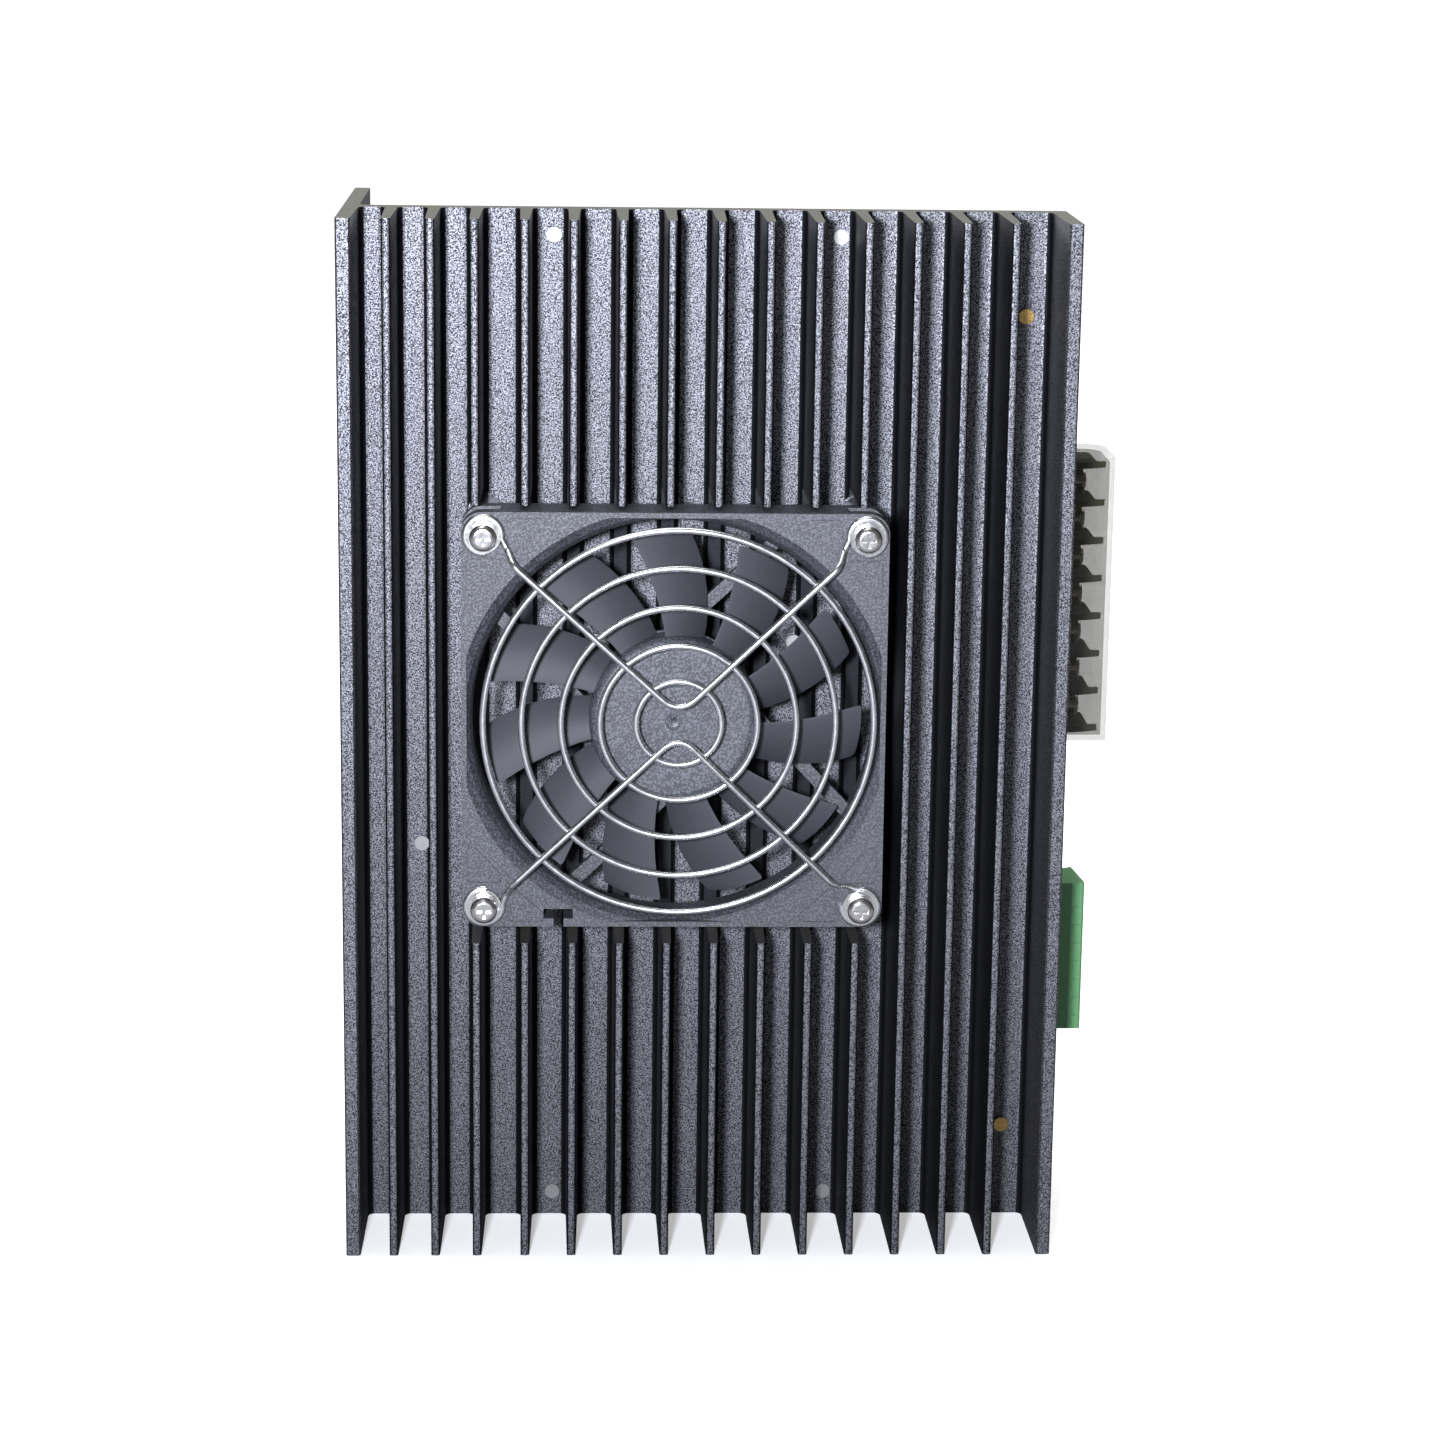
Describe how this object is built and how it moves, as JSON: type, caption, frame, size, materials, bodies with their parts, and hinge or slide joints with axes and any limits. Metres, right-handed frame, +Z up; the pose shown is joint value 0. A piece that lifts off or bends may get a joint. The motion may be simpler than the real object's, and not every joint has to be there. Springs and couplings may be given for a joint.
{
  "type": "servo drive",
  "caption": "Wall-mounted servo drive: finned black heat sink with a guarded axial fan, folded cover, barrier terminals under a clear flap and a pluggable signal connector.",
  "frame": {"origin": "under the middle of the whole drive, on the plane of the heat sink's lower end", "axes": "+Z up along the fins, +X towards the connectors, -Y towards the fin tips and the fan, +Y towards the cover's back"},
  "size_m": [0.1504, 0.0724, 0.2016],
  "materials": {
    "anodised_aluminium": "black sandblasted anodised",
    "fan_frame_plastic": "fine moulded texture",
    "rotor_plastic": "satin moulded",
    "magnet": "bonded ferrite",
    "steel": "zinc plated",
    "wire": "bright chrome",
    "bronze": "sintered",
    "copper": "enamelled winding",
    "spacer": "turned",
    "cover_paint": "black powder coat",
    "block_plastic": "moulded",
    "terminal_metal": "nickel plated",
    "smoky_clear": "clear polycarbonate, smoke tint",
    "green_plastic": "moulded",
    "tin": "tinned",
    "socket_black": "moulded",
    "shell_plate": "tin plated steel",
    "switch_red": "moulded",
    "lever_white": "moulded",
    "lamp_lens": "tinted epoxy",
    "board_green": "solder mask",
    "brass": "turned",
    "nylon": "moulded",
    "capacitor_sleeve": "shrink sleeve",
    "epoxy": "moulded",
    "pad": "silicone pad",
    "ferrite": "coated ferrite",
    "relay_plastic": "moulded"
  },
  "bodies": {
    "drive": {"heatsink": "anodised_aluminium", "fan_frame": "fan_frame_plastic", "fan_bearing": "bronze", "fan_stator": "copper", "finger_guard": "wire", "fan_screws": "steel", "fan_washers": "steel", "fan_spring_washers": "steel", "fan_spacers": "spacer", "cover": "cover_paint", "cover_screws": "steel", "terminal_block": "block_plastic", "terminal_screws": "terminal_metal", "terminal_clamps": "terminal_metal", "signal_header": "green_plastic", "header_pins": "tin", "encoder_shell": "shell_plate", "encoder_insert": "socket_black", "encoder_jackscrews": "steel", "switch_body": "switch_red", "status_lamps": "lamp_lens", "power_board": "board_green", "control_board": "board_green", "power_pillars": "brass", "control_pillars": "nylon", "board_screws": "steel", "board_link": "socket_black", "bus_capacitors": "capacitor_sleeve", "rectifier": "epoxy", "brake_transistor": "epoxy", "power_module": "epoxy", "thermal_pads": "pad", "module_screws": "steel", "choke_core": "ferrite", "choke_windings": "copper", "relay": "relay_plastic", "control_chips": "epoxy"},
    "rotor": {"fan_rotor": "rotor_plastic", "fan_magnet": "magnet", "fan_shaft": "steel"},
    "flap": {"terminal_flap": "smoky_clear"},
    "plug": {"signal_plug": "green_plastic", "plug_screws": "steel", "plug_clamps": "steel"},
    "switch_lever_1": {"switch_lever_1": "lever_white"},
    "switch_lever_2": {"switch_lever_2": "lever_white"},
    "switch_lever_3": {"switch_lever_3": "lever_white"},
    "switch_lever_4": {"switch_lever_4": "lever_white"},
    "switch_lever_5": {"switch_lever_5": "lever_white"},
    "switch_lever_6": {"switch_lever_6": "lever_white"}
  },
  "joints": [
    {"name": "rotor_spin", "type": "hinge", "parent": "drive", "child": "rotor", "pos_m": [-0.0123, -0.02814, 0.1078], "axis": [0, -1, 0], "continuous": true},
    {"name": "flap_hinge", "type": "hinge", "parent": "drive", "child": "flap", "pos_m": [0.0658, 0.02276, 0.1241], "axis": [0, 0, 1], "range_deg": [0, 100]},
    {"name": "plug_slide", "type": "slide", "parent": "drive", "child": "plug", "axis": [1, 0, 0], "range_m": [0, 0.012]},
    {"name": "lever_1_slide", "type": "slide", "parent": "drive", "child": "switch_lever_1", "axis": [0, 1, 0], "range_m": [0, 0.0018]},
    {"name": "lever_2_slide", "type": "slide", "parent": "drive", "child": "switch_lever_2", "axis": [0, 1, 0], "range_m": [0, 0.0018]},
    {"name": "lever_3_slide", "type": "slide", "parent": "drive", "child": "switch_lever_3", "axis": [0, 1, 0], "range_m": [0, 0.0018]},
    {"name": "lever_4_slide", "type": "slide", "parent": "drive", "child": "switch_lever_4", "axis": [0, 1, 0], "range_m": [0, 0.0018]},
    {"name": "lever_5_slide", "type": "slide", "parent": "drive", "child": "switch_lever_5", "axis": [0, 1, 0], "range_m": [0, 0.0018]},
    {"name": "lever_6_slide", "type": "slide", "parent": "drive", "child": "switch_lever_6", "axis": [0, 1, 0], "range_m": [0, 0.0018]}
  ]
}
